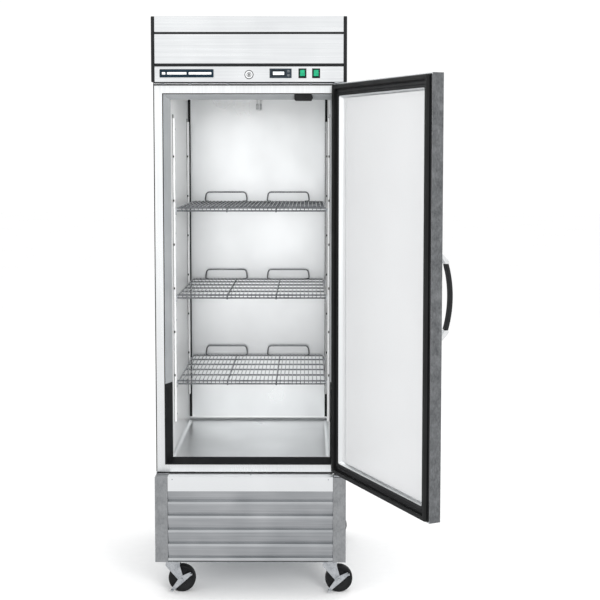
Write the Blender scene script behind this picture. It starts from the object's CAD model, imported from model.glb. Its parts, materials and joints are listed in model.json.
"""Reach-in refrigerator: the finished surfaces and fine parts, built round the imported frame."""

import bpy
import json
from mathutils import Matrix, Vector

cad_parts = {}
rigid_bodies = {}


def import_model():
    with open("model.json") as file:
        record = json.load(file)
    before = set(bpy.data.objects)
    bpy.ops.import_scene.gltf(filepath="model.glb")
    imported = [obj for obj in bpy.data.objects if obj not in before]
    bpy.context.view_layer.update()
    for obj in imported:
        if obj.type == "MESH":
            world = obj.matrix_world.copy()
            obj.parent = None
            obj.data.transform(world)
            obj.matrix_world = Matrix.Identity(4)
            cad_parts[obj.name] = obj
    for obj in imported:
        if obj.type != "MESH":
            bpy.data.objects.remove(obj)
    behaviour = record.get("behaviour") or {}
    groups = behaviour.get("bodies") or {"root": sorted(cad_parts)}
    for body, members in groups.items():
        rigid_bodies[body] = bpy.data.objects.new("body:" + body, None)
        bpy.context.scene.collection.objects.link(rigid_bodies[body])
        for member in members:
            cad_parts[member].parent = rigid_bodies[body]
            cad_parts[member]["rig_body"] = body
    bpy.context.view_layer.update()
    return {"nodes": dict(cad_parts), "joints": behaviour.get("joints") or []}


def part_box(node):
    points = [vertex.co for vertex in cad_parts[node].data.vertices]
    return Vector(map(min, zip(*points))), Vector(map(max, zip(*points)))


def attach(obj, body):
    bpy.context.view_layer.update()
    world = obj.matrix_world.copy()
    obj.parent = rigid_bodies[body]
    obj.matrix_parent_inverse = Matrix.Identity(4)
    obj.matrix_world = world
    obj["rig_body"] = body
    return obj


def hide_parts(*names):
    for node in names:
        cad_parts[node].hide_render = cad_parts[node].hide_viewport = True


bl_info = {
    "name": "Reach-in Refrigerator",
    "version": (1, 0, 0),
    "blender": (4, 5, 0),
    "location": "3D View > Sidebar > Refrigerator",
    "description": "Builds the cabinet, door, shelves, header, machine base and casters",
    "category": "Add Mesh",
}

import json
import math

import bmesh
import bpy
from mathutils import Matrix, Vector

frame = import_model()

# Sizes below are millimetres in the cabinet's own frame: X = 0 is the middle of the cabinet,
# Y = 0 the plane of the closed door's face with +Y to the back, and Z = 0 the floor.
BREAKER_LOW, BREAKER_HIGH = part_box("breaker_frame")
ORIGIN = Vector(((BREAKER_LOW.x + BREAKER_HIGH.x) / 2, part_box("base_column_left")[0].y, 0))
CABINET = Matrix.Translation(ORIGIN) @ Matrix.Scale(0.001, 4)

# The door is drawn closed, then swung about its hinge to where it stands at rest.
HINGE = next(joint for joint in frame["joints"] if joint["name"] == "door_hinge")
PIVOT = Matrix.Translation(Vector(HINGE["pos_m"]))
SWING = Matrix.Rotation(math.radians(-HINGE["range_deg"][0]), 4, "Z")
DOOR = PIVOT @ SWING @ PIVOT.inverted() @ CABINET

X, Y, Z = Vector((1, 0, 0)), Vector((0, 1, 0)), Vector((0, 0, 1))


def span(node, place=CABINET):
    """A frame node's lowest and highest corners, in cabinet millimetres."""
    back = place.inverted()
    points = [back @ vertex.co for vertex in frame["nodes"][node].data.vertices]
    low = Vector([min(point[axis] for point in points) for axis in range(3)])
    high = Vector([max(point[axis] for point in points) for axis in range(3)])
    return low, high


# ---------------------------------------------------------------- finishes


def linear(hex_colour):
    """An sRGB hex colour as linear RGB."""
    values = [int(hex_colour[i : i + 2], 16) / 255 for i in (1, 3, 5)]
    return [v / 12.92 if v <= 0.04045 else ((v + 0.055) / 1.055) ** 2.4 for v in values]


# light and dark: the two tones the surface runs between. rough: its smoothest and roughest.
# grain: the size in mm, on X, Y and Z, of the fine pattern. patch: of the broad unevenness.
# bump: the height of the fine pattern in mm. cells: the pattern is crystals or bubbles.
# coat and gloss: the clear coat's weight, and how strongly a plastic reflects.
FINISHES = {
    # Type 304 sheet, belt brushed upright: satin, with faint vertical streaks. The real lines are
    # about 0.1 mm apart and are drawn at 4 mm so that they show.
    "brushed_stainless_upright": dict(
        light="#EEF0F1", dark="#DEE0E1", metallic=1, rough=(0.24, 0.34),
        grain=(4, 4, 420), patch=260, bump=0.01
    ),
    # The same sheet with its grain laid level, as on the header.
    "brushed_stainless_level": dict(
        light="#E0E2E3", dark="#CCCED0", metallic=1, rough=(0.24, 0.34),
        grain=(420, 4, 4), patch=220, bump=0.01
    ),
    # Matt-rolled sheet of the base columns: grey, with a fine mottle.
    "matt_rolled_stainless": dict(
        light="#A6A8AA", dark="#8A8C8E", metallic=1, rough=(0.34, 0.5),
        grain=(5, 5, 9), patch=30, bump=0.01
    ),
    # Duller ground sheet of the grille's louvres, grain level.
    "ground_stainless": dict(
        light="#BDBFC1", dark="#999C9F", metallic=1, rough=(0.28, 0.4),
        grain=(420, 5, 5), patch=160, bump=0.01
    ),
    # Raw folded edges of the same sheet, left as rolled: grey, dull and mottled.
    "raw_stainless_edge": dict(
        light="#8A8C8E", dark="#5E6062", metallic=1, rough=(0.34, 0.52),
        grain=(5, 5, 9), patch=26, bump=0.01
    ),
    # Bright rolled sheet, 2B mill finish, of the liner and the grille's flat panel: soft mirror
    # images, with slight waves in the sheet.
    "mill_finish_stainless": dict(
        light="#F2F4F5", dark="#E8EAEB", metallic=1, rough=(0.26, 0.36),
        grain=(160, 160, 220), patch=420, bump=0.05
    ),
    # Coated sheet of the liner's sides: near-white satin.
    "coated_sheet_pale": dict(
        light="#F0F1F1", dark="#EBECEC", metallic=0, rough=(0.3, 0.38),
        grain=(3, 3, 3), patch=340, bump=0.004
    ),
    # The same sheet in the door's inner panel: pale grey satin.
    "coated_sheet_grey": dict(
        light="#DADBDC", dark="#D5D6D7", metallic=0, rough=(0.3, 0.38),
        grain=(3, 3, 3), patch=340, bump=0.004
    ),
    # Chromed die casting: a clean bright mirror with very slight orange peel.
    "chromed_casting": dict(
        light="#EBECED", dark="#D9DBDC", metallic=1, rough=(0.08, 0.16),
        grain=(6, 6, 6), patch=40, bump=0.01
    ),
    # Hot-dip galvanised steel: grey crystals (spangle) 12 mm across.
    "galvanised_steel": dict(
        light="#B2B6B9", dark="#9CA1A4", metallic=1, rough=(0.4, 0.54),
        grain=(12, 12, 12), patch=90, bump=0.01, cells=True
    ),
    # Bright zinc plate on pressed steel: slightly cloudy.
    "zinc_plated_steel": dict(
        light="#CFD2D5", dark="#999DA2", metallic=1, rough=(0.26, 0.44),
        grain=(5, 5, 5), patch=22, bump=0.01
    ),
    # Nickel-chrome plated shelf wire: bright, with dips in tone along its length.
    "chrome_plated_wire": dict(
        light="#9A9C9F", dark="#64676B", metallic=1, rough=(0.16, 0.3),
        grain=(8, 8, 8), patch=60, bump=0
    ),
    # Injection-moulded ABS in black: fine spark-eroded texture, drawn at 1.2 mm so that it shows.
    "moulded_abs_black": dict(
        light="#1A1B1D", dark="#101112", metallic=0, rough=(0.4, 0.55),
        grain=(1.2, 1.2, 1.2), patch=40, bump=0.02, gloss=0.25
    ),
    # Controller housing: slate-coloured ABS, semi-matt.
    "moulded_abs_slate": dict(
        light="#27323A", dark="#1D262D", metallic=0, rough=(0.34, 0.48),
        grain=(1.2, 1.2, 1.2), patch=30, bump=0.015, gloss=0.25
    ),
    # White ABS of the shelf standards and the probe: smooth, a little warm.
    "moulded_abs_white": dict(
        light="#EFF0F0", dark="#DEDFE0", metallic=0, rough=(0.34, 0.46),
        grain=(2, 2, 2), patch=60, bump=0.01
    ),
    # Mid-grey ABS of the controller's keys.
    "moulded_abs_grey": dict(
        light="#73777B", dark="#62666A", metallic=0, rough=(0.36, 0.5),
        grain=(1.5, 1.5, 1.5), patch=30, bump=0.015
    ),
    # Switch paddle: clear-coated green polycarbonate.
    "green_polycarbonate": dict(
        light="#0FA878", dark="#0A8660", metallic=0, rough=(0.18, 0.28),
        grain=(3, 3, 3), patch=14, bump=0, coat=0.2, gloss=0.3
    ),
    # Lit display lens behind clear acrylic.
    "display_lens": dict(
        light="#F2F6F8", dark="#DFE6EA", metallic=0, rough=(0.12, 0.2),
        grain=(3, 3, 3), patch=20, bump=0, coat=0.8
    ),
    # Extruded PVC thermal break: grey, with faint lines along the extrusion.
    "extruded_pvc_grey": dict(
        light="#A9ACAE", dark="#8E9194", metallic=0, rough=(0.34, 0.5),
        grain=(2, 2, 160), patch=120, bump=0.02
    ),
    # The same extrusion in black.
    "extruded_pvc_black": dict(
        light="#17181A", dark="#0E0F10", metallic=0, rough=(0.42, 0.56),
        grain=(2, 2, 160), patch=120, bump=0.02, gloss=0.3
    ),
    # Soft magnetic gasket: plasticised PVC, satin black.
    "gasket_vinyl": dict(
        light="#141516", dark="#0A0B0B", metallic=0, rough=(0.46, 0.6),
        grain=(2, 2, 90), patch=80, bump=0.02, gloss=0.25
    ),
    # Polyurethane tyre: dull black with fine scuffs.
    "polyurethane_tyre": dict(
        light="#1E1F20", dark="#111213", metallic=0, rough=(0.55, 0.75),
        grain=(2.5, 2.5, 2.5), patch=18, bump=0.04, gloss=0.2
    ),
    # Rigid polyurethane foam: cream, with a cellular skin.
    "rigid_foam": dict(
        light="#DDCB96", dark="#C4AE74", metallic=0, rough=(0.85, 0.98),
        grain=(3, 3, 3), patch=60, bump=0.3, cells=True
    ),
    # Baked black enamel of the compressor and the fans: glossy over a slightly uneven coat.
    "baked_enamel_black": dict(
        light="#292B2D", dark="#1A1C1D", metallic=0, rough=(0.22, 0.36),
        grain=(5, 5, 5), patch=50, bump=0.03, coat=0.5
    ),
    # Drawn copper tube: salmon pink, browner where it has been handled.
    "drawn_copper_tube": dict(
        light="#C98A62", dark="#8F5636", metallic=1, rough=(0.24, 0.44),
        grain=(14, 14, 14), patch=50, bump=0
    ),
    # Aluminium fin stock, cut on a press: pale and slightly dull.
    "aluminium_fin_stock": dict(
        light="#C9CCCE", dark="#A9ADB0", metallic=1, rough=(0.34, 0.5),
        grain=(3, 40, 40), patch=90, bump=0
    ),
    # Anodised slate-blue badge plate.
    "anodised_slate": dict(
        light="#2C3C48", dark="#22303A", metallic=1, rough=(0.34, 0.46),
        grain=(60, 2, 2), patch=50, bump=0
    ),
    # Studio floor: matt white paint, with the faint cloudiness of a rolled coat.
    "matt_white_paint": dict(
        light="#FDFDFD", dark="#F9F9F9", metallic=0, rough=(0.8, 0.9),
        grain=(30, 30, 30), patch=900, bump=0
    ),
}


def add(tree, kind, inputs=(), **settings):
    """A shader node with its settings; inputs holds values, or other nodes' sockets to link."""
    made = tree.nodes.new(kind)
    for name, value in settings.items():
        setattr(made, name, value)
    for name, value in dict(inputs).items():
        if isinstance(value, bpy.types.NodeSocket):
            tree.links.new(value, made.inputs[name])
        else:
            made.inputs[name].default_value = value
    return made


def finish(name):
    """The named material, made the first time it is asked for."""
    if name in bpy.data.materials:
        return bpy.data.materials[name]
    look = FINISHES[name]
    colours = bpy.context.scene.fridge_colours
    light = list(getattr(colours, name, linear(look["light"])))
    shade = [b / a for a, b in zip(linear(look["light"]), linear(look["dark"]))]
    dark = [value * part for value, part in zip(light, shade)]
    material = bpy.data.materials.new(name)
    material.use_nodes = True
    tree = material.node_tree
    tree.nodes.clear()
    place = add(tree, "ShaderNodeTexCoord").outputs["Object"]
    scaled = add(
        tree, "ShaderNodeMapping", {"Vector": place, "Scale": [1000 / size for size in look["grain"]]}
    ).outputs["Vector"]
    if look.get("cells"):
        cells = add(tree, "ShaderNodeTexVoronoi", {"Vector": scaled, "Scale": 1.0})
        grain = add(tree, "ShaderNodeRGBToBW", {"Color": cells.outputs["Color"]}).outputs["Val"]
    else:
        lines = add(tree, "ShaderNodeTexNoise", {"Vector": scaled, "Scale": 1.0, "Detail": 3.0})
        grain = lines.outputs["Fac"]
    patch = add(
        tree, "ShaderNodeTexNoise", {"Vector": place, "Scale": 1000 / look["patch"], "Detail": 2.0}
    ).outputs["Fac"]
    mottle = add(tree, "ShaderNodeMath", {0: grain, 1: patch}, operation="ADD")
    spread = add(
        tree, "ShaderNodeMapRange", {"Value": mottle.outputs[0], "From Min": 0.6, "From Max": 1.4}
    )
    colour = add(
        tree,
        "ShaderNodeMix",
        {"Factor": spread.outputs[0], "A": (*dark, 1), "B": (*light, 1)},
        data_type="RGBA",
    )
    smooth, coarse = look["rough"]
    rough = add(
        tree,
        "ShaderNodeMapRange",
        {"Value": spread.outputs[0], "To Min": coarse, "To Max": smooth},
    )
    values = {
        "Base Color": colour.outputs["Result"],
        "Roughness": rough.outputs[0],
        "Metallic": look["metallic"],
        "Coat Weight": look.get("coat", 0.0),
        "Specular IOR Level": look.get("gloss", 0.5),
    }
    if look["bump"]:
        values["Normal"] = add(
            tree,
            "ShaderNodeBump",
            {"Height": grain, "Strength": 1.0, "Distance": look["bump"] / 1000},
        ).outputs["Normal"]
    shader = add(tree, "ShaderNodeBsdfPrincipled", values)
    add(tree, "ShaderNodeOutputMaterial", {"Surface": shader.outputs[0]})
    return material


# ---------------------------------------------------------------- shapes


def facing(direction):
    """The turn that points local +Z along a direction."""
    return Vector(direction).to_track_quat("Z", "Y").to_matrix().to_4x4()


def ease(part, edges, size, steps=2):
    """Round the given edges of a part."""
    bmesh.ops.bevel(
        part,
        geom=edges,
        offset=size,
        offset_type="OFFSET",
        affect="EDGES",
        segments=steps,
        profile=0.5,
        clamp_overlap=True,
        material=-1,
    )


def sharp_edges(part, degrees=30):
    """The edges where two faces turn by more than an angle."""
    limit = math.radians(degrees)
    return [edge for edge in part.edges if edge.is_manifold and edge.calc_face_angle() > limit]


def brick(x, y, z, edge=0.0, steps=2):
    """A block between two values on each axis, with its edges eased."""
    part = bmesh.new()
    low, high = (Vector(corner) for corner in zip(x, y, z))
    scale = Matrix.Diagonal((*(high - low), 1))
    bmesh.ops.create_cube(part, size=1, matrix=Matrix.Translation((low + high) / 2) @ scale)
    if edge:
        ease(part, part.edges[:], edge, steps)
    return part


def post(start, end, radius, sides=24, edge=0.0, tip=None):
    """A round bar, or a cone with a tip radius, from one point to another."""
    start, end = Vector(start), Vector(end)
    part = bmesh.new()
    bmesh.ops.create_cone(
        part,
        cap_ends=True,
        segments=sides,
        radius1=radius,
        radius2=radius if tip is None else tip,
        depth=(end - start).length,
        matrix=Matrix.Translation((start + end) / 2) @ facing(end - start),
    )
    if edge:
        ease(part, sharp_edges(part, 50), edge)
    return part


def turned(profile, at, axis=Z, steps=32, closed=False):
    """A turned piece: pairs of (radius, height) run round an axis through a point."""
    part = bmesh.new()
    points = [part.verts.new((radius, 0, height)) for radius, height in profile]
    pairs = list(zip(points, points[1:]))
    if closed:
        pairs.append((points[-1], points[0]))
    edges = [part.edges.new(pair) for pair in pairs]
    bmesh.ops.spin(
        part,
        geom=points + edges,
        cent=(0, 0, 0),
        axis=(0, 0, 1),
        angle=math.tau,
        steps=steps,
        use_merge=True,
        use_duplicate=False,
    )
    bmesh.ops.remove_doubles(part, verts=part.verts, dist=1e-3)
    bmesh.ops.recalc_face_normals(part, faces=part.faces)
    bmesh.ops.transform(part, matrix=Matrix.Translation(at) @ facing(axis), verts=part.verts)
    return part


def raised(outline, axis, start, end, edge=0.0, steps=2):
    """A flat outline raised between two levels: (y, z) pairs on X, (x, z) on Y, (x, y) on Z."""
    part = bmesh.new()
    others = [index for index in range(3) if not axis[index]]
    points = []
    for pair in outline:
        point = axis * start
        point[others[0]], point[others[1]] = pair
        points.append(part.verts.new(point))
    face = part.faces.new(points)
    made = bmesh.ops.extrude_face_region(part, geom=[face])["geom"]
    moved = [item for item in made if isinstance(item, bmesh.types.BMVert)]
    bmesh.ops.translate(part, vec=axis * (end - start), verts=moved)
    bmesh.ops.recalc_face_normals(part, faces=part.faces)
    if edge:
        ease(part, sharp_edges(part), edge, steps)
    return part


def folded(path, x, gauge, edge):
    """A sheet folded along (y, z) corners and run between two values of X, eased at its folds."""
    part = bmesh.new()
    points = [part.verts.new((x[0], y, z)) for y, z in path]
    edges = [part.edges.new(pair) for pair in zip(points, points[1:])]
    made = bmesh.ops.extrude_edge_only(part, edges=edges)["geom"]
    moved = [item for item in made if isinstance(item, bmesh.types.BMVert)]
    bmesh.ops.translate(part, vec=(x[1] - x[0], 0, 0), verts=moved)
    bmesh.ops.recalc_face_normals(part, faces=part.faces)
    first = next(iter(part.faces))
    if first.normal.dot(-Y - Z * 0.01) > 0:  # the gauge is laid on behind the outer face
        bmesh.ops.reverse_faces(part, faces=part.faces)
    bmesh.ops.solidify(part, geom=part.faces[:], thickness=gauge)
    bmesh.ops.recalc_face_normals(part, faces=part.faces)
    ease(part, sharp_edges(part, 12), edge)
    return part


def bent(points, radius, steps=4):
    """A path with each of its inner corners rounded."""
    points = [Vector(point) for point in points]
    path = [points[0]]
    for before, corner, after in zip(points, points[1:], points[2:]):
        start = corner + (before - corner).normalized() * radius
        end = corner + (after - corner).normalized() * radius
        for step in range(steps + 1):
            t = step / steps
            path.append(start * (1 - t) ** 2 + corner * 2 * t * (1 - t) + end * t * t)
    return [*path, points[-1]]


def onward(part, ring):
    """Extrude a closed ring of vertices; the new ring keeps the old one's order."""
    held = set(ring)
    edges = {edge for vertex in ring for edge in vertex.link_edges if set(edge.verts) <= held}
    made = bmesh.ops.extrude_edge_only(part, edges=list(edges))["geom"]
    fresh = {item for item in made if isinstance(item, bmesh.types.BMVert)}
    return [
        next(edge.other_vert(old) for edge in old.link_edges if edge.other_vert(old) in fresh)
        for old in ring
    ]


def swept(path, section, up=Z):
    """A section of (across, up) pairs carried along a path, with both ends closed."""
    path = [Vector(point) for point in path]
    steps = [(after - before).normalized() for before, after in zip(path, path[1:])]
    headings = [steps[0], *[(a + b).normalized() for a, b in zip(steps, steps[1:])], steps[-1]]
    across = headings[0].cross(up).normalized()
    rise = across.cross(headings[0])
    part = bmesh.new()
    ring = [part.verts.new(path[0] + across * a + rise * b) for a, b in section]
    for pair in zip(ring, [*ring[1:], ring[0]]):
        part.edges.new(pair)
    for index in range(1, len(path)):
        ring = onward(part, ring)
        turn = headings[index - 1].rotation_difference(headings[index]).to_matrix()
        bmesh.ops.translate(part, vec=path[index] - path[index - 1], verts=ring)
        bmesh.ops.rotate(part, cent=path[index], matrix=turn, verts=ring)
    ends = [edge for edge in part.edges if edge.is_boundary]
    bmesh.ops.holes_fill(part, edges=ends, sides=0)
    bmesh.ops.recalc_face_normals(part, faces=part.faces)
    return part


def wire(path, radius, sides=8, up=Z):
    """A round wire or tube along a path."""
    angles = [math.tau * side / sides for side in range(sides)]
    return swept(path, [(radius * math.cos(a), radius * math.sin(a)) for a in angles], up)


def moulding(profile, x, z, corner=0.0, steps=3):
    """A moulding mitred round a rectangle across Y; its profile's pairs are (inset, y)."""
    part = bmesh.new()
    corners = [(x[0], z[0], 1, 1), (x[1], z[0], -1, 1), (x[1], z[1], -1, -1), (x[0], z[1], 1, -1)]
    ring = []
    for cx, cz, sx, sz in [*corners, corners[0]]:
        places = [Vector((cx + sx * inset, y, cz + sz * inset)) for inset, y in profile]
        if ring:
            ring = onward(part, ring)
            for vertex, point in zip(ring, places):
                bmesh.ops.translate(part, vec=point - vertex.co, verts=[vertex])
        else:
            ring = [part.verts.new(point) for point in places]
            for pair in zip(ring, [*ring[1:], ring[0]]):
                part.edges.new(pair)
    bmesh.ops.remove_doubles(part, verts=part.verts, dist=1e-3)
    bmesh.ops.recalc_face_normals(part, faces=part.faces)
    if corner:
        mitres = []
        for edge in part.edges:
            first, last = edge.verts
            for cx, cz, sx, sz in corners:
                offs = [(v.co.x - cx) * sx - (v.co.z - cz) * sz for v in (first, last)]
                if max(map(abs, offs)) < 1e-3 and abs(first.co.x - last.co.x) < abs(x[1] - x[0]) / 2:
                    mitres.append(edge)
                    break
        ease(part, mitres, corner, steps)
    return part


def eased_copy(node, edge=0.4, steps=2, degrees=30):
    """A frame node's mesh, merged, with its sharp edges eased. It is in row metres."""
    part = bmesh.new()
    part.from_mesh(frame["nodes"][node].data)
    bmesh.ops.remove_doubles(part, verts=part.verts, dist=2e-6)
    bmesh.ops.dissolve_limit(
        part, angle_limit=math.radians(0.5), verts=part.verts, edges=part.edges
    )
    for face in part.faces:
        face.material_index = 0
    if edge:
        ease(part, sharp_edges(part, degrees), edge / 1000, steps)
    return part


def parted(part, chosen):
    """Split a part by a test on its faces: those that pass it, then the rest."""
    rest = part.copy()
    for half, kept in ((part, True), (rest, False)):
        extra = [face for face in half.faces if bool(chosen(face)) != kept]
        bmesh.ops.delete(half, geom=extra, context="FACES")
    return part, rest


def pan_head(at, axis, radius=4.0):
    """A low domed screw head standing on a face."""
    profile = [(0, 0.52), (0.35, 0.5), (0.7, 0.42), (0.92, 0.25), (1, 0.06), (1, -0.05), (0, -0.05)]
    return turned([(r * radius, h * radius) for r, h in profile], at, axis, 12)


def hex_head(at, axis, radius=6.0, height=4.0):
    """A hexagon bolt head."""
    at = Vector(at)
    return post(at, at + Vector(axis) * height, radius, 6, 0.5)


class Piece:
    """One finished mesh, gathered from parts and then set on a body of the frame."""

    def __init__(self, name):
        self.name = name
        self.shape = bmesh.new()
        self.finishes = []

    def add(self, part, finish_name, place=CABINET):
        """Take a part over; place is None for a part already in row metres."""
        if finish_name not in self.finishes:
            self.finishes.append(finish_name)
        index = self.finishes.index(finish_name)
        for face in part.faces:
            face.material_index = index
            face.smooth = True
        if place is not None:
            bmesh.ops.transform(part, matrix=place, verts=part.verts)
        mesh = bpy.data.meshes.new("part")
        part.to_mesh(mesh)
        part.free()
        self.shape.from_mesh(mesh)
        bpy.data.meshes.remove(mesh)
        return self

    def spread(self, part, finish_name, offsets, place=CABINET):
        """Take over a copy of a part at each offset."""
        for offset in offsets:
            copied = part.copy()
            bmesh.ops.translate(copied, vec=Vector(offset), verts=copied.verts)
            self.add(copied, finish_name, place)
        part.free()
        return self

    def done(self, body, *nodes, slot=None):
        """Make the object, standing for the named frame nodes."""
        mesh = bpy.data.meshes.new(self.name)
        self.shape.to_mesh(mesh)
        self.shape.free()
        for name in self.finishes:
            mesh.materials.append(finish(name))
        mesh.set_sharp_from_angle(angle=math.radians(38))
        made = bpy.data.objects.new(self.name, mesh)
        # Broad faces are shaded flat right up to their rounded edges.
        even = made.modifiers.new("even_shading", "WEIGHTED_NORMAL")
        even.keep_sharp = True
        bpy.context.scene.collection.objects.link(made)
        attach(made, body)
        if nodes:
            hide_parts(*nodes)
        return made


def dress(node, finish_name, slot, edge=0.4, steps=2, degrees=30):
    """Start the piece that stands for one frame node with an eased copy of it."""
    piece = Piece(f"{node}_finished")
    piece.add(eased_copy(node, edge, steps, degrees), finish_name, None)
    piece.node, piece.slot = node, slot
    return piece


def stand(piece):
    """Set a dressed piece on its own node's body."""
    return piece.done(frame["nodes"][piece.node]["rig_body"], piece.node, slot=piece.slot)


# ---------------------------------------------------------------- what a user would change


def length(name, description, default, low, high):
    """A size in millimetres that a user can change."""
    return bpy.props.FloatProperty(
        name=name, description=description, default=default, min=low, max=high
    )


def tone(name, description, finish_name):
    """A finish's light tone, which a user can change; its dark tone follows."""
    return bpy.props.FloatVectorProperty(
        name=name,
        description=description,
        default=linear(FINISHES[finish_name]["light"]),
        subtype="COLOR",
        size=3,
        min=0,
        max=1,
    )


class FridgeSizes(bpy.types.PropertyGroup):
    """Sizes of the fine parts, in millimetres."""

    sheet_edge: length("Sheet edge", "Rounding of folded sheet edges, in mm", 0.5, 0.1, 1.5)
    deck_wire: length("Deck wire", "Diameter of a shelf's deck wires, in mm", 3.2, 1.5, 5)
    deck_pitch: length("Deck pitch", "Spacing of a shelf's deck wires, in mm", 14.9, 8, 32)
    rim_wire: length("Rim wire", "Diameter of a shelf's rim and cross rods, in mm", 6, 4, 8)
    fin_pitch: length("Fin pitch", "Spacing of the coils' fins, in mm", 4, 2, 8)
    slot_pitch: length("Slot pitch", "Spacing of the slots in the shelf standards, in mm", 25.4, 12, 50)


class FridgeColours(bpy.types.PropertyGroup):
    """Colours of the main finishes."""

    brushed_stainless_upright: tone("Upright steel", "Cabinet and door sheet", "brushed_stainless_upright")
    brushed_stainless_level: tone("Level steel", "Header sheet", "brushed_stainless_level")
    mill_finish_stainless: tone("Liner steel", "Inner liner sheet", "mill_finish_stainless")
    gasket_vinyl: tone("Gasket", "Door gasket", "gasket_vinyl")
    green_polycarbonate: tone("Switches", "Rocker switch paddles", "green_polycarbonate")
    matt_white_paint: tone("Floor", "Studio floor", "matt_white_paint")


# ---------------------------------------------------------------- cabinet

FACE_Y = 55
FACE_HALF = 343
BODY_BACK = 808
LINER_HALF = 286.5
LINER_FRONT = 102
LINER_BACK = 742
LINER_FLOOR = 494
LINER_CEILING = 1824
COVE = 14
STANDARD_WIDTH = 20
STANDARD_DEPTH = 8
CATCH_COUNT, CATCH_PITCH, TOP_CATCH = 6, 161, 1591
SHELF_TOPS = {"lower": 772, "middle": 1090, "upper": 1410}


class FRIDGE_OT_shell(bpy.types.Operator):
    """Outer wrap, rear panel, insulation, inner liner and thermal-break frame"""

    bl_idname = "fridge.shell"
    bl_label = "Cabinet shell"

    def execute(self, context):
        edge = context.scene.fridge_sizes.sheet_edge
        stand(dress("outer_shell", "brushed_stainless_upright", "stainless_brushed", edge))

        rear = dress("rear_panel", "galvanised_steel", "galvanised", edge)
        heights = [470 + 220 * index for index in range(8)]
        rear.spread(
            pan_head((0, BODY_BACK, 0), Y),
            "zinc_plated_steel",
            [(side * 328, 0, z) for side in (-1, 1) for z in heights],
        )
        rear.spread(
            brick((-290, -262), (BODY_BACK - 0.6, BODY_BACK + 1.2), (560, 1960), 0.8),
            "galvanised_steel",
            [(0, 0, 0), (552, 0, 0)],
        )
        stand(rear)

        foam = frame["nodes"]["insulation"]
        foam.data.materials.clear()
        foam.data.materials.append(finish("rigid_foam"))

        sides, rest = parted(
            eased_copy("inner_liner", 0), lambda face: abs(face.normal.x) > 0.5 or face.normal.z < -0.5
        )
        liner = Piece("inner_liner_finished")
        liner.add(sides, "coated_sheet_pale", None)
        liner.add(rest, "mill_finish_stainless", None)
        bmesh.ops.remove_doubles(liner.shape, verts=liner.shape.verts, dist=2e-6)
        liner.done("cabinet", "inner_liner", slot="stainless_polished")

        # Rounded corners along the floor, and black seals up the two back corners.
        cove = [(COVE, 0), (0, 0), (0, COVE)]
        for index in range(1, 6):
            turn = math.radians(90 - 15 * index)
            cove.append((COVE * (1 - math.sin(turn)), COVE * (1 - math.cos(turn))))
        coves = Piece("liner_coves")
        for side in (-1, 1):
            seal = brick(
                sorted((side * LINER_HALF, side * (LINER_HALF - 10))),
                (LINER_BACK - 3, LINER_BACK),
                (LINER_FLOOR + 12, LINER_CEILING),
                1.2,
            )
            coves.add(seal, "extruded_pvc_black")
            foot = [(side * (LINER_HALF - a), LINER_FLOOR + b) for a, b in cove]
            coves.add(raised(foot, Y, LINER_FRONT, LINER_BACK), "mill_finish_stainless")
        level = [(LINER_BACK - a, LINER_FLOOR + b) for a, b in cove]
        coves.add(raised(level, X, -LINER_HALF, LINER_HALF), "mill_finish_stainless")
        coves.done("cabinet", slot="stainless_polished")

        ring = eased_copy("breaker_frame", 0.8, 2)
        level = CABINET @ Vector((0, 0, SHELF_TOPS["lower"]))
        bmesh.ops.bisect_plane(
            ring, geom=ring.verts[:] + ring.edges[:] + ring.faces[:], plane_co=level, plane_no=Z
        )
        lower, upper = parted(ring, lambda face: face.calc_center_median().z < level.z)
        breaker = Piece("breaker_frame_finished")
        breaker.add(upper, "extruded_pvc_grey", None)
        breaker.add(lower, "extruded_pvc_black", None)
        bmesh.ops.remove_doubles(breaker.shape, verts=breaker.shape.verts, dist=2e-6)
        breaker.done("cabinet", "breaker_frame", slot="grey_pvc")

        # Black sealant: down both edges of the face, and in the seam round the thermal break.
        seams = Piece("face_seams")
        for side in (-1, 1):
            x = sorted((side * FACE_HALF, side * (FACE_HALF - 3.4)))
            seams.add(brick(x, (FACE_Y - 0.4, FACE_Y + 0.2), (452, 1850)), "extruded_pvc_black")
        low, high = span("breaker_frame")
        near, far = FACE_Y + 0.2, FACE_Y + 1.6
        seam = [(0.2, far), (0.2, near), (3, near), (3, far)]
        seams.add(moulding(seam, (low.x, high.x), (low.z, high.z)), "extruded_pvc_black")
        seams.done("cabinet", slot="black_plastic")
        return {"FINISHED"}


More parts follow.
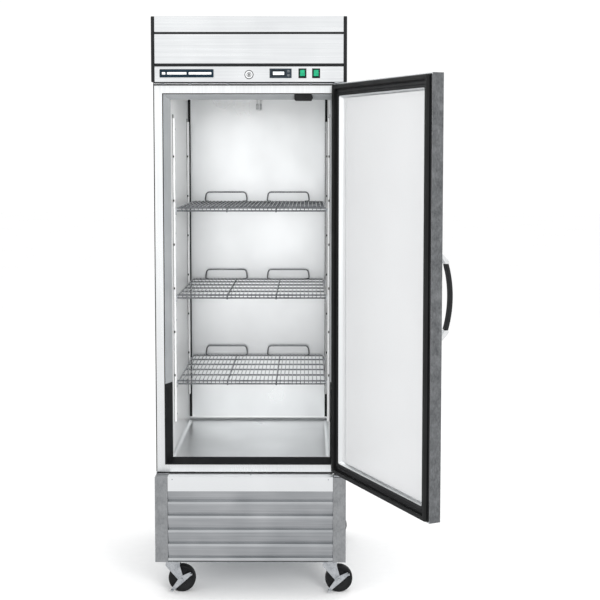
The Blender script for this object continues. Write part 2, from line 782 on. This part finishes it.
class FRIDGE_OT_fittings(bpy.types.Operator):
    """Door switch, air probe and the four slotted shelf standards with their clips"""

    bl_idname = "fridge.fittings"
    bl_label = "Interior fittings"

    def execute(self, context):
        sizes = context.scene.fridge_sizes
        switch = dress("door_switch", "moulded_abs_black", "black_plastic", 1.2, 3)
        switch.add(post((200, 59, 1800), (200, 52.5, 1800), 4, 20, 0.8), "moulded_abs_black")
        stand(switch)

        probe = Piece("temperature_probe_finished")
        low, high = span("temperature_probe")
        middle = ((low.x + high.x) / 2, low.y + 10, low.z)
        guard = [(0, 0), (5, 0.6), (8.4, 4), (9.8, 10), (9.8, 20), (9.2, 21), (9.2, 30), (0, 30)]
        probe.add(turned(guard, middle), "moulded_abs_white")
        cap = [(0, 29), (8.6, 29.2), (10, 31), (10, 44), (8.5, 46), (0, 46)]
        probe.add(turned(cap, middle), "moulded_abs_white")
        foot = (middle[0] - 7, middle[0] + 7)
        probe.add(brick(foot, (middle[1] + 4, high.y), (1800, 1823), 1.5), "moulded_abs_white")
        for index in range(8):
            turn = math.tau * index / 8
            spot = Vector((math.cos(turn), math.sin(turn), 0))
            rib = post(Vector(middle) + spot * 9.4 + Z * 5, Vector(middle) + spot * 9.4 + Z * 28, 1, 8)
            probe.add(rib, "moulded_abs_grey")
        probe.done("cabinet", "temperature_probe", slot="white_plastic")

        for name in ("front_left", "front_right", "rear_left", "rear_right"):
            self.standard(name, sizes.slot_pitch)
        return {"FINISHED"}

    def standard(self, name, pitch):
        """A channel-section shelf standard with a row of slots, its screws and its clips."""
        node = f"pilaster_{name}"
        low, high = span(node)
        side = -1 if low.x < 0 else 1
        wall = side * (LINER_HALF - 0.3)
        face = wall - side * STANDARD_DEPTH
        half = STANDARD_WIDTH / 2
        middle = (low.y + high.y) / 2
        piece = Piece(f"{node}_finished")
        count = int((high.z - low.z) / pitch)
        tall = count * pitch
        web = bmesh.new()
        bmesh.ops.create_grid(web, x_segments=1, y_segments=count, size=0.5)
        bmesh.ops.scale(web, vec=(STANDARD_WIDTH, tall, 1), verts=web.verts)
        bmesh.ops.inset_individual(web, faces=web.faces[:], thickness=6.4, use_even_offset=True)
        slots = [spot for spot in web.faces if max(abs(v.co.x) for v in spot.verts) < half - 1]
        bmesh.ops.delete(web, geom=slots, context="FACES")
        bmesh.ops.remove_doubles(web, verts=web.verts, dist=1e-3)
        made = bmesh.ops.extrude_face_region(web, geom=web.faces[:])["geom"]
        moved = [item for item in made if isinstance(item, bmesh.types.BMVert)]
        bmesh.ops.translate(web, vec=(0, 0, 1.4), verts=moved)
        bmesh.ops.recalc_face_normals(web, faces=web.faces)
        upright = Matrix(((0, 0, -side, 0), (1, 0, 0, 0), (0, 1, 0, 0), (0, 0, 0, 1)))
        centre = Vector((face + side * 1.4, middle, low.z + tall / 2))
        bmesh.ops.transform(web, matrix=Matrix.Translation(centre) @ upright, verts=web.verts)
        bmesh.ops.recalc_face_normals(web, faces=web.faces)
        piece.add(web, "moulded_abs_white")
        for end in (-1, 1):
            lip = sorted((middle + end * half, middle + end * (half - 1.8)))
            depth = sorted((face + side * 1.2, wall))
            piece.add(brick(depth, lip, (low.z, low.z + tall), 0.3), "moulded_abs_white")
        for z in (640, 990, 1310, 1690):
            piece.add(pan_head((face, middle, z), X * -side, 3.6), "zinc_plated_steel")
        for index in range(CATCH_COUNT):
            z = TOP_CATCH - CATCH_PITCH * index
            depth = sorted((wall, wall - side * 5))
            catch = brick(depth, (middle - 14, middle + 14), (z - 4, z + 4), 1)
            piece.add(catch, "moulded_abs_black")
        shadow = brick(sorted((wall, wall - side)), (middle - 12, middle + 12), (low.z, high.z), 0.3)
        piece.add(shadow, "extruded_pvc_black")
        for top in SHELF_TOPS.values():
            under = top - 8.3
            root, nose, shank = face + side, face - side * 11, face - side * 3
            hook = [(root, under - 24), (root, under), (nose, under)]
            hook += [(nose, under - 3), (shank, under - 12), (shank, under - 24)]
            piece.add(raised(hook, Y, middle - 7, middle + 7, 0.6), "zinc_plated_steel")
        piece.done("cabinet", node, slot="white_plastic")


class FRIDGE_OT_shelves(bpy.types.Operator):
    """The three wire shelves"""

    bl_idname = "fridge.shelves"
    bl_label = "Wire shelves"

    def execute(self, context):
        sizes = context.scene.fridge_sizes
        for level in SHELF_TOPS:
            self.shelf(f"shelf_{level}", sizes)
        return {"FINISHED"}

    def shelf(self, node, sizes):
        """Deck wires turned down at the front over a double rim, rods across, and the stops."""
        low, high = span(node)
        top = SHELF_TOPS[node.split("_")[1]]
        thin, rod = sizes.deck_wire / 2, sizes.rim_wire / 2
        deck = top - thin
        under = deck - thin - rod
        half = high.x - rod
        front, back = low.y, high.y
        piece = Piece(f"{node}_finished")
        chrome = "chrome_plated_wire"
        count = int(2 * (half - rod) / sizes.deck_pitch)
        first = -(count - 1) * sizes.deck_pitch / 2
        line = bent([(0, back - thin, deck), (0, front + thin, deck), (0, front + thin, top - 19)], 5, 3)
        piece.spread(
            wire(line, thin, 6, X), chrome, [(first + i * sizes.deck_pitch, 0, 0) for i in range(count)]
        )
        rim = [(-half, front + 3 * rod, under), (-half, back - rod, under), (half, back - rod, under)]
        rim = bent([*rim, (half, front + 3 * rod, under)], 14, 4)
        piece.add(wire(rim, rod, 8), chrome)
        for y, z in ((front + 2.2 * thin + rod, under), (front + 2.2 * thin + rod, top - 17)):
            piece.add(wire([(-half - rod, y, z), (half + rod, y, z)], rod, 8), chrome)
        for share in (0.22, 0.42, 0.62, 0.82):
            y = front + share * (back - front)
            piece.add(wire([(-half, y, under), (half, y, under)], rod, 8), chrome)
        for x in (-90, 90):
            low_run = under - 2 * rod
            brace = [(x, back - rod, low_run), (x, front + 8, low_run), (x, front + 8, top - 22)]
            piece.add(wire(bent(brace, 5, 3), rod, 8, X), chrome)
        for left, right in ((-217, -43), (38, 213)):
            plane, crest = back - 2.5, high.z - 2.4
            stop = [(left + 16, back - 40, deck), (left, plane, deck), (left + 6, plane, crest)]
            stop += [(right - 6, plane, crest), (right, plane, deck), (right - 16, back - 40, deck)]
            piece.add(wire(bent(stop, 13, 5), 2.6, 8), chrome)
        piece.done(frame["nodes"][node]["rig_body"], node, slot="chrome_wire")


# ---------------------------------------------------------------- header

CONTROL_Z = 1881.5
LOCK_Z = 1877
SEAL_X = (-342, 299)
TAB_PLACES = (-309, -213, -77, 216)


class FRIDGE_OT_header(bpy.types.Operator):
    """Header panels, trim, end caps and the blank badge plate"""

    bl_idname = "fridge.header"
    bl_label = "Header"

    def execute(self, context):
        edge = context.scene.fridge_sizes.sheet_edge
        panel = dress("header_panel", "brushed_stainless_level", "stainless_brushed", edge)
        panel.add(brick((-330.5, 330.5), (1.2, 4.4), (2017.7, 2024.8), 0.3), "extruded_pvc_black")
        stand(panel)
        stand(dress("control_panel", "brushed_stainless_level", "stainless_brushed", edge))
        stand(dress("header_trim", "moulded_abs_black", "black_plastic", 1.0, 3))
        for name in ("header_end_left", "header_end_right"):
            stand(dress(name, "moulded_abs_black", "black_plastic", 1.2, 3))

        # Two black strips under the header, with zinc tabs across the gap between them.
        seal = Piece("header_seal")
        upper = brick(SEAL_X, (FACE_Y - 1.6, FACE_Y), (1850, 1856), 0.6)
        seal.add(upper, "extruded_pvc_black")
        lower = brick(SEAL_X, (FACE_Y - 0.3, FACE_Y + 0.2), (1842, 1847))
        seal.add(lower, "extruded_pvc_black")
        tab = brick((-5, 5), (FACE_Y - 3, FACE_Y - 1), (1845.5, 1851.5), 0.6)
        seal.spread(tab, "zinc_plated_steel", [(x, 0, 0) for x in TAB_PLACES])
        seal.done("cabinet", slot="black_plastic")

        low, high = span("name_plate")
        x, z = (low.x, high.x), (low.z, high.z)
        badge = Piece("name_plate_finished")
        plate = brick((x[0] + 1, x[1] - 1), (-1.4, high.y), (z[0] + 1, z[1] - 1), 0.3)
        badge.add(plate, "anodised_slate")
        rim = [(0, high.y), (0, -2.0), (0.5, -2.4), (1.2, -2.4), (1.7, -2.0), (1.7, high.y)]
        badge.add(moulding(rim, x, z, 2.0), "chromed_casting")
        for start, end in ((10, 22), (28, 96), (104, 183)):
            bar = brick((x[0] + start, x[0] + end), (-2.1, -1.2), (CONTROL_Z - 4, CONTROL_Z + 4), 0.4)
            badge.add(bar, "moulded_abs_white")
        badge.done("cabinet", "name_plate", slot="black_plastic")
        return {"FINISHED"}


class FRIDGE_OT_controls(bpy.types.Operator):
    """Lock, bolt, thermostat with its keys, and the two rocker switches"""

    bl_idname = "fridge.controls"
    bl_label = "Controls and lock"

    def execute(self, context):
        lock = dress("lock_housing", "chromed_casting", "stainless_polished", 0.8, 3)
        low, high = span("lock_housing")
        reach = (high.x - low.x) / 2
        for inner, outer, front in ((reach - 0.5, reach + 2.2, -1.2), (6.8, 8.2, low.y - 0.15)):
            groove = [(inner, front), (outer, front), (outer, 0.2), (inner, 0.2)]
            lock.add(turned(groove, (0, 0, LOCK_Z), Y, 40, True), "extruded_pvc_black")
        stand(lock)
        plug = dress("lock_plug", "chromed_casting", "stainless_polished", 0.25)
        low, high = span("lock_plug")
        tall = (LOCK_Z - 4.4, LOCK_Z + 4.4)
        plug.add(brick((-2.6, 2.6), (low.y - 0.2, low.y + 0.3), tall, 0.15), "extruded_pvc_black")
        stand(plug)
        stand(dress("lock_bolt", "zinc_plated_steel", "zinc_plate", 0.6))

        body = dress("controller_body", "moulded_abs_slate", "black_plastic", 0.7, 3)
        window = ((79, 128), (CONTROL_Z - 10.5, CONTROL_Z + 10.5))
        rim = [(0.2, -3.1), (0.2, -3.7), (0.9, -3.9), (1.7, -3.7), (2.2, -2.4), (0.2, -2.4)]
        body.add(moulding(rim, *window, 1.5), "moulded_abs_black")
        lens = (window[0][0] + 5, window[0][1] - 5)
        body.add(brick(lens, (-2.9, -2.4), (CONTROL_Z - 5.5, CONTROL_Z + 5.5), 0.2), "display_lens")
        stand(body)
        for name, sign in (("controller_button_up", 1), ("controller_button_down", -1)):
            key = dress(name, "moulded_abs_grey", "grey_pvc", 0.6, 3)
            low, high = span(name)
            middle = (low + high) / 2
            tip = middle.z + sign * 2.0
            foot = middle.z - sign * 1.4
            arrow = [(middle.x - 2.2, foot), (middle.x + 2.2, foot), (middle.x, tip)]
            key.add(raised(arrow, Y, low.y - 0.2, low.y + 0.1), "moulded_abs_black")
            stand(key)

        for side in ("left", "right"):
            bezel = dress(f"rocker_frame_{side}", "moulded_abs_black", "black_plastic", 0.8, 3)
            low, high = span(bezel.node)
            rim = [(0, 0.2), (0, -0.6), (0.4, -0.9), (3.5, -0.9), (3.5, 0.2)]
            outline = (low.x - 1.5, high.x + 1.5), (low.z - 1.5, high.z + 1.5)
            bezel.add(moulding(rim, *outline), "extruded_pvc_black")
            stand(bezel)
            stand(dress(f"rocker_{side}", "green_polycarbonate", "green_plastic", 0.7, 3, 20))
        return {"FINISHED"}


# ---------------------------------------------------------------- door

DOOR_LEFT, DOOR_RIGHT = -335, 341
DOOR_BOTTOM, DOOR_TOP = 456, 1846
DOOR_BACK = 40
DOOR_FRAME = 44
GASKET_HINGE_INSET = 7
HANDLE_X = -299


class FRIDGE_OT_door(bpy.types.Operator):
    """Door pan, foam, inner panel, gasket and both hinges"""

    bl_idname = "fridge.door"
    bl_label = "Door"

    def execute(self, context):
        edge = context.scene.fridge_sizes.sheet_edge
        flat = (DOOR.to_3x3() @ Y).normalized()
        pan = eased_copy("door_pan", edge)
        faces, edges = parted(pan, lambda face: abs(face.normal.dot(flat)) > 0.5)
        door = Piece("door_pan_finished")
        door.add(faces, "brushed_stainless_upright", None)
        door.add(edges, "raw_stainless_edge", None)
        bmesh.ops.remove_doubles(door.shape, verts=door.shape.verts, dist=2e-6)
        door.done("door", "door_pan", slot="stainless_brushed")
        foam = frame["nodes"]["door_foam"]
        foam.data.materials.clear()
        foam.data.materials.append(finish("rigid_foam"))

        x, z = (DOOR_LEFT, DOOR_RIGHT), (DOOR_BOTTOM, DOOR_TOP)
        rim = DOOR_FRAME - 2.6
        deep = DOOR_BACK - 13
        liner = Piece("door_liner_finished")
        panel = brick((x[0] + rim, x[1] - rim), (deep - 1.4, deep), (z[0] + rim, z[1] - rim), 0.4)
        liner.add(panel, "coated_sheet_grey", DOOR)
        slope = [(rim, deep - 1), (rim, DOOR_BACK), (rim + 1.2, DOOR_BACK), (rim + 2.4, DOOR_BACK - 4)]
        slope += [(rim + 7, deep + 1.2), (rim + 11, deep - 0.4), (rim + 11, deep - 1)]
        liner.add(moulding(slope, x, z, 4), "mill_finish_stainless", DOOR)
        across = (x[1] - rim - 34, x[1] - rim - 30)
        seam = brick(across, (deep - 0.8, deep + 1.0), (z[0] + 60, z[1] - 60), 0.8)
        liner.add(seam, "mill_finish_stainless", DOOR)
        liner.done("door", "door_liner", slot="stainless_polished")

        gasket = Piece("door_gasket_finished")
        back = DOOR_BACK + 0.3
        band = [(3, back), (3, back + 1.6), (4.5, back + 2.7), (22, back + 2.7), (22.8, back + 1.2)]
        band += [(24.2, back + 1.2), (25, back + 2.7), (33, back + 2.7), (33.8, back + 1.2)]
        band += [(35.2, back + 1.2), (36, back + 2.7), (42, back + 2.7), (44, back + 1.4), (44, back)]
        gasket.add(moulding(band, x, z, 5), "extruded_pvc_black", DOOR)
        tall = DOOR_BACK + 14.6
        bulb = [(9, back + 2.4), (9, back + 4.5), (6, back + 6), (5, back + 8), (6, tall - 1.6)]
        bulb += [(8, tall), (18, tall), (20.4, tall - 1.6), (21, back + 9), (19, back + 7.4)]
        bulb += [(17, back + 6.8)]
        bulb += [(19, back + 5.6), (19.4, back + 4), (17, back + 2.4)]
        clear_of_frame = (x[0], x[1] - GASKET_HINGE_INSET)
        gasket.add(moulding(bulb, clear_of_frame, z, 4), "gasket_vinyl", DOOR)
        gasket.done("door", "door_gasket", slot="gasket_black")

        for name in ("hinge_top", "hinge_bottom"):
            stand(dress(name, "zinc_plated_steel", "zinc_plate", 0.6, 2))
        return {"FINISHED"}


class FRIDGE_OT_handle(bpy.types.Operator):
    """Bow handle: two bright end brackets and the black grip"""

    bl_idname = "fridge.handle"
    bl_label = "Door handle"

    def execute(self, context):
        for name in ("handle_bracket_lower", "handle_bracket_upper"):
            stand(dress(name, "chromed_casting", "stainless_polished", 3.0, 4))
        low, high = span("handle_grip", DOOR)
        middle = (low.z + high.z) / 2
        chord, rise = (high.z - low.z) / 2, 16
        radius = (chord * chord + rise * rise) / (2 * rise)
        reach = math.asin(chord / radius)
        path = []
        for step in range(25):
            angle = -reach + 2 * reach * step / 24
            bow = radius * (1 - math.cos(angle)) - rise - 34
            path.append((HANDLE_X, bow, middle + radius * math.sin(angle)))
        section = []
        for cx, cy, start in ((6.5, 2.5, 0), (-6.5, 2.5, 90), (-6.5, -2.5, 180), (6.5, -2.5, 270)):
            for step in range(5):
                angle = math.radians(start + 22.5 * step)
                section.append((cx + 3.5 * math.cos(angle), cy + 3.5 * math.sin(angle)))
        grip = Piece("handle_grip_finished")
        grip.add(swept(path, section, Y), "moulded_abs_black", DOOR)
        grip.done("door", "handle_grip", slot="black_plastic")
        return {"FINISHED"}


# ---------------------------------------------------------------- machine base

BASE_TOP = 444
GRILLE_FRONT = 0.5
GRILLE_HALF = 296.5
FLAT_FOOT = 393
LOUVRE_COUNT, LOUVRE_PITCH, TOP_LEDGE = 5, 51.5, 352


class FRIDGE_OT_base(bpy.types.Operator):
    """Chassis with its cord gland, front columns and louvred grille"""

    bl_idname = "fridge.base"
    bl_label = "Machine base"

    def execute(self, context):
        edge = context.scene.fridge_sizes.sheet_edge
        chassis = dress("base_frame", "galvanised_steel", "galvanised", edge)
        nut = [(5.2, 0), (9.5, 0), (10.5, 1), (10.5, 5), (9, 7), (5.2, 7)]
        chassis.add(turned(nut, (245, BODY_BACK - 7.6, 190), Y, 24, True), "moulded_abs_black")
        stand(chassis)
        for name in ("base_column_left", "base_column_right"):
            stand(dress(name, "matt_rolled_stainless", "stainless_brushed", edge + 0.3, 3))

        # The flat panel folds back over the top; below it each louvre slopes out to a bright lip
        # with a dark slot under it.
        front = GRILLE_FRONT
        flat = [(FACE_Y - 2, BASE_TOP), (front, BASE_TOP), (front, FLAT_FOOT)]
        louvres = [(front, FLAT_FOOT)]
        grille = Piece("louvre_grille_finished")
        for index in range(LOUVRE_COUNT):
            ledge = TOP_LEDGE - index * LOUVRE_PITCH
            louvres += [(12, ledge + 3), (front + 3, ledge + 1), (front, ledge - 5), (front, ledge - 8)]
            slot = (ledge - 11.5, ledge - 8)
            grille.add(brick((-280, 280), (front + 0.6, front + 3), slot, 0.3), "extruded_pvc_black")
            bright = [(front + 3.2, ledge + 1.2), (front - 0.4, ledge - 5), (front + 1.2, ledge - 5)]
            lip = raised(bright, X, -296, 296)
            grille.add(lip, "mill_finish_stainless")
        x = (-GRILLE_HALF, GRILLE_HALF)
        grille.add(folded(flat, x, 1.2, edge), "mill_finish_stainless")
        grille.add(folded(louvres, x, 1.2, edge), "ground_stainless")
        grille.spread(
            pan_head((0, front, 436), -Y, 3.2), "zinc_plated_steel", [(-280, 0, 0), (280, 0, 0)]
        )
        grille.add(pan_head((0, 30, BASE_TOP), Z, 4), "zinc_plated_steel")
        baffle = brick((-340, 299), (FACE_Y - 1, FACE_Y + 0.6), (444.5, 449.8), 0.4)
        grille.add(baffle, "extruded_pvc_black")
        grille.done("cabinet", "louvre_grille", slot="stainless_brushed")
        return {"FINISHED"}


class FRIDGE_OT_refrigeration(bpy.types.Operator):
    """Compressor, pipework, both coils and both fans"""

    bl_idname = "fridge.refrigeration"
    bl_label = "Refrigeration system"

    def execute(self, context):
        pitch = context.scene.fridge_sizes.fin_pitch
        self.compressor()
        self.coil("condenser_coil", 10, 2, pitch, "copper_tube")
        self.coil("evaporator_coil", 5, 6, pitch, "aluminium_fin")
        self.fan("condenser_fan", Y, 110, 34, "baked_enamel_black")
        self.fan("evaporator_fan", -Z, 84, 30, "baked_enamel_black")
        return {"FINISHED"}

    def compressor(self):
        """Welded shell on a rubber-mounted plate, with its terminal box, tubes and drier."""
        floor = 132.3
        at = Vector((120, 600, floor))
        piece = Piece("compressor_finished")
        shell = [(0, 14), (46, 14), (68, 18), (80, 30), (83, 48), (83, 84), (85.5, 85), (85.5, 90)]
        shell += [(83, 91), (82, 112), (76, 132), (64, 150), (46, 164), (24, 173), (0, 176)]
        piece.add(turned(shell, at, Z, 48), "baked_enamel_black")
        piece.add(brick((10, 230), (530, 670), (floor + 5, floor + 9), 1), "baked_enamel_black")
        feet = [(x, y, 0) for x in (24, 216) for y in (544, 656)]
        foot = turned([(0, 0), (10, 0), (10, 4.6), (7, 6.6), (7, 11), (4, 12), (0, 12)], (0, 0, floor))
        piece.spread(foot, "polyurethane_tyre", feet)
        piece.add(brick((186, 214), (572, 628), (floor + 62, floor + 112), 4, 3), "moulded_abs_black")
        tube = "drawn_copper_tube"
        suction = [(60, 560, 250), (30, 540, 330), (30, 470, 405), (0, 400, 425), (0, 400, 446)]
        piece.add(wire(bent(suction, 18, 4), 5, 10), tube)
        discharge = [(80, 665, 230), (60, 690, 300), (-40, 690, 320), (-40, 690, 395), (-235, 690, 395)]
        discharge += [(-235, 400, 395), (-235, 190, 395), (-235, 160, 392)]
        piece.add(wire(bent(discharge, 18, 4), 3.5, 10), tube)
        drier = [(0, 0), (4, 1), (5, 8), (12, 14), (12, 100), (5, 106), (4, 114), (0, 115)]
        piece.add(turned(drier, (-235, 380, 395), -Y, 20), tube)
        piece.done("cabinet", "compressor", slot="black_enamel")

    def coil(self, node, rows, layers, pitch, slot):
        """Thin fins between end plates, threaded by rows of tube joined with return bends."""
        low, high = span(node)
        piece = Piece(f"{node}_finished")
        inset = 4
        count = int((high.x - low.x - 2 * inset) / pitch)
        fin = brick((0, 0.5), (low.y + 1, high.y - 1), (low.z + 1, high.z - 1))
        offsets = [(low.x + inset + index * pitch, 0, 0) for index in range(count)]
        piece.spread(fin, "aluminium_fin_stock", offsets)
        for left in (low.x, high.x - 2):
            piece.add(brick((left, left + 2), (low.y, high.y), (low.z, high.z), 0.5), "galvanised_steel")
        step = (high.z - low.z) / rows
        gap = (high.y - low.y) / layers
        for layer in range(layers):
            y = low.y + gap * (layer + 0.5)
            path = []
            for row in range(rows):
                z = low.z + step * (row + 0.5)
                ends = (low.x - 3, high.x + 3) if row % 2 == 0 else (high.x + 3, low.x - 3)
                path += [(ends[0], y, z), (ends[1], y, z)]
            reach = min(step * 0.45, 9)
            piece.add(wire(bent(path, reach, 4), 3.6, 8, Y), "drawn_copper_tube")
        piece.done("cabinet", node, slot=slot)

    def fan(self, name, axis, radius, can, finish_name):
        """A motor on its bracket, and the five twisted blades on a hub."""
        stand(dress(f"{name}_motor", "galvanised_steel", "galvanised", 1.2, 2))
        low, high = span(f"{name}_blade")
        middle = (low + high) / 2
        piece = Piece(f"{name}_blade_finished")
        turn = Matrix.Translation(middle) @ facing(axis)
        hub_radius = radius * 0.24
        hub = [(3.4, -9), (hub_radius - 3, -9), (hub_radius, -6), (hub_radius, 9), (hub_radius - 3, 9)]
        hub += [(hub_radius - 3, 0), (3.4, 0)]
        piece.add(turned(hub, (0, 0, 0), Z, 32, True), finish_name, CABINET @ turn)
        for index in range(5):
            blade = bmesh.new()
            bmesh.ops.create_grid(blade, x_segments=8, y_segments=6, size=0.5)
            for vertex in blade.verts:
                out, across = vertex.co.x + 0.5, vertex.co.y
                reach = hub_radius * 0.9 + out * (radius * 0.985 - hub_radius * 0.9)
                chord = radius * (0.4 + 0.3 * math.sin(out * 2.4)) * across
                sweep = chord / reach + 0.25 * out
                lift = -chord * math.tan(math.radians(30 - 12 * out)) + 3 * (1 - 4 * across * across)
                vertex.co = Vector((reach * math.cos(sweep), reach * math.sin(sweep), lift * 0.62))
            bmesh.ops.solidify(blade, geom=blade.faces[:], thickness=1.8)
            bmesh.ops.recalc_face_normals(blade, faces=blade.faces)
            spin = Matrix.Rotation(math.tau * index / 5, 4, "Z")
            piece.add(blade, finish_name, CABINET @ turn @ spin)
        node = f"{name}_blade"
        piece.done(frame["nodes"][node]["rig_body"], node, slot="black_enamel")


# ---------------------------------------------------------------- casters

CASTER_TRAIL = 33
WHEEL_RADIUS = 50


class FRIDGE_OT_casters(bpy.types.Operator):
    """Four swivel casters, the front two with side brakes"""

    bl_idname = "fridge.casters"
    bl_label = "Casters"

    def execute(self, context):
        for x, side in ((-287, "left"), (287, "right")):
            for y, end in ((80, "front"), (728, "rear")):
                self.caster(f"{end}_{side}", Vector((x, y, 0)), end == "front")
        return {"FINISHED"}

    def caster(self, name, at, brake):
        """Pressed fork with its ball race, a spoked wheel and, in front, the brake lever."""
        hub = at + Vector((CASTER_TRAIL, 0, WHEEL_RADIUS))
        fork = dress(f"caster_fork_{name}", "zinc_plated_steel", "zinc_plate", 0.8, 2)
        race = [(22, 112.6), (28.5, 112.6), (29.5, 114.5), (29.5, 118), (28, 120), (22, 120)]
        fork.add(turned(race, at, Z, 32, True), "zinc_plated_steel")
        fork.add(hex_head(hub + Vector((0, 20.2, 0)), Y, 8, 5), "zinc_plated_steel")
        stand(fork)

        node = f"caster_wheel_{name}"
        wheel = Piece(f"{node}_finished")
        tyre = [(37, -11.6), (41, -12.6), (45, -15), (47.6, -14.3), (49.3, -11.8), (50, -7), (50, 7)]
        tyre += [(49.3, 11.8), (47.6, 14.3), (45, 15), (41, 12.6), (37, 11.6)]
        wheel.add(turned(tyre, hub, Y, 48, True), "polyurethane_tyre")
        core = [(5.2, -15), (12, -15), (14, -13.6), (16, -10), (24, -8), (33, -9), (37.4, -12)]
        core += [(37.4, 12), (33, 9), (24, 8), (16, 10), (14, 13.6), (12, 15), (5.2, 15)]
        wheel.add(turned(core, hub, Y, 48, True), "moulded_abs_black")
        for index in range(6):
            turn = math.tau * index / 6
            way = Vector((math.cos(turn), 0, math.sin(turn)))
            for face in (-1, 1):
                start = hub + way * 14 + Y * face * 8.5
                wheel.add(post(start, hub + way * 34 + Y * face * 8.5, 2.2, 8), "moulded_abs_black")
        wheel.done(frame["nodes"][node]["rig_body"], node, slot="wheel_rubber")
        if brake:
            stand(dress(f"caster_brake_{name}", "zinc_plated_steel", "zinc_plate", 0.7, 2))


# ---------------------------------------------------------------- stage

FLOOR_HALF = 30
CAMERA_PLACE = (204.6, -4317, 1594.8)
CAMERA_DOWN, CAMERA_TURN = 4.124, 0.347
LENS_LENGTH, LENS_RISE = 73.49, -0.0937


class FRIDGE_OT_stage(bpy.types.Operator):
    """Pale floor, soft studio light and the camera"""

    bl_idname = "fridge.stage"
    bl_label = "Studio stage"

    def execute(self, context):
        scene = context.scene
        scene.view_settings.view_transform = "Standard"
        shape = bmesh.new()
        bmesh.ops.create_grid(shape, x_segments=8, y_segments=8, size=FLOOR_HALF)
        mesh = bpy.data.meshes.new("studio_floor")
        shape.to_mesh(mesh)
        shape.free()
        mesh.materials.append(finish("matt_white_paint"))
        floor = bpy.data.objects.new("studio_floor", mesh)
        scene.collection.objects.link(floor)
        floor.visible_glossy = False  # the steel mirrors the studio's dark lower half instead

        # White from a little below level upwards, and slightly greyer under that.
        world = bpy.data.worlds.new("soft_studio")
        world.use_nodes = True
        tree = world.node_tree
        tree.nodes.clear()
        way = add(tree, "ShaderNodeTexCoord").outputs["Generated"]
        up = add(tree, "ShaderNodeSeparateXYZ", {"Vector": way}).outputs["Z"]
        rise = add(
            tree,
            "ShaderNodeMapRange",
            {"Value": up, "From Min": -0.3, "From Max": -0.16},
            interpolation_type="SMOOTHSTEP",
        )
        tint = add(
            tree,
            "ShaderNodeMix",
            {"Factor": rise.outputs[0], "A": (0.85, 0.85, 0.86, 1), "B": (1.04, 1.04, 1.04, 1)},
            data_type="RGBA",
        )
        light = add(tree, "ShaderNodeBackground", {"Color": tint.outputs["Result"], "Strength": 1.0})
        add(tree, "ShaderNodeOutputWorld", {"Surface": light.outputs[0]})
        scene.world = world

        # The last value says whether the steel mirrors the lamp: only two of them do, so that
        # the flat sheet isn't burnt out.
        for name, at, aim, size, power, mirrored in (
            ("key_softbox", (-3200, -2400, 2600), (0, 0, 1150), 2.4, 20, True),
            ("front_softbox", (-100, -4900, 2100), (0, 400, 1400), 3.2, 10, True),
            ("fill_softbox", (-100, -4900, 2100), (0, 400, 1400), 3.2, 24, False),
            ("side_softbox", (1700, -3200, 1700), (-286, 300, 1200), 1.4, 80, False),
            ("top_softbox", (0, 900, 4300), (0, 900, 0), 3.0, 25, False),
        ):
            lamp = bpy.data.lights.new(name, "AREA")
            lamp.shape = "SQUARE"
            lamp.size = size
            lamp.energy = power
            held = bpy.data.objects.new(name, lamp)
            held.visible_camera = False
            held.visible_glossy = mirrored
            start, end = CABINET @ Vector(at), CABINET @ Vector(aim)
            held.location = start
            held.rotation_euler = (end - start).to_track_quat("-Z", "Y").to_euler()
            scene.collection.objects.link(held)

        lens = bpy.data.cameras.new("camera")
        lens.sensor_width = 36
        lens.lens = LENS_LENGTH
        lens.shift_y = LENS_RISE
        lens.clip_start, lens.clip_end = 0.1, 60
        camera = bpy.data.objects.new("camera", lens)
        camera.location = CABINET @ Vector(CAMERA_PLACE)
        camera.rotation_euler = (math.radians(90 - CAMERA_DOWN), 0, math.radians(CAMERA_TURN))
        scene.collection.objects.link(camera)
        scene.camera = camera
        return {"FINISHED"}


# ---------------------------------------------------------------- add-on

OPERATORS = (
    FRIDGE_OT_stage,
    FRIDGE_OT_shell,
    FRIDGE_OT_fittings,
    FRIDGE_OT_shelves,
    FRIDGE_OT_header,
    FRIDGE_OT_controls,
    FRIDGE_OT_door,
    FRIDGE_OT_handle,
    FRIDGE_OT_base,
    FRIDGE_OT_refrigeration,
    FRIDGE_OT_casters,
)


class FRIDGE_PT_parts(bpy.types.Panel):
    """Lists the refrigerator's sizes, colours and builders"""

    bl_idname = "FRIDGE_PT_parts"
    bl_label = "Refrigerator"
    bl_space_type = "VIEW_3D"
    bl_region_type = "UI"
    bl_category = "Refrigerator"

    def draw(self, context):
        for group in (context.scene.fridge_sizes, context.scene.fridge_colours):
            box = self.layout.box()
            for name in group.__annotations__:
                box.prop(group, name)
        column = self.layout.column()
        for operator in OPERATORS:
            column.operator(operator.bl_idname)


CLASSES = (FridgeSizes, FridgeColours, *OPERATORS, FRIDGE_PT_parts)


def register():
    for cls in CLASSES:
        bpy.utils.register_class(cls)
    bpy.types.Scene.fridge_sizes = bpy.props.PointerProperty(type=FridgeSizes)
    bpy.types.Scene.fridge_colours = bpy.props.PointerProperty(type=FridgeColours)


def unregister():
    del bpy.types.Scene.fridge_colours
    del bpy.types.Scene.fridge_sizes
    for cls in reversed(CLASSES):
        bpy.utils.unregister_class(cls)


def main():
    """Build the refrigerator."""
    register()
    for operator in OPERATORS:
        group, name = operator.bl_idname.split(".")
        getattr(getattr(bpy.ops, group), name)()


if __name__ == "__main__":
    main()
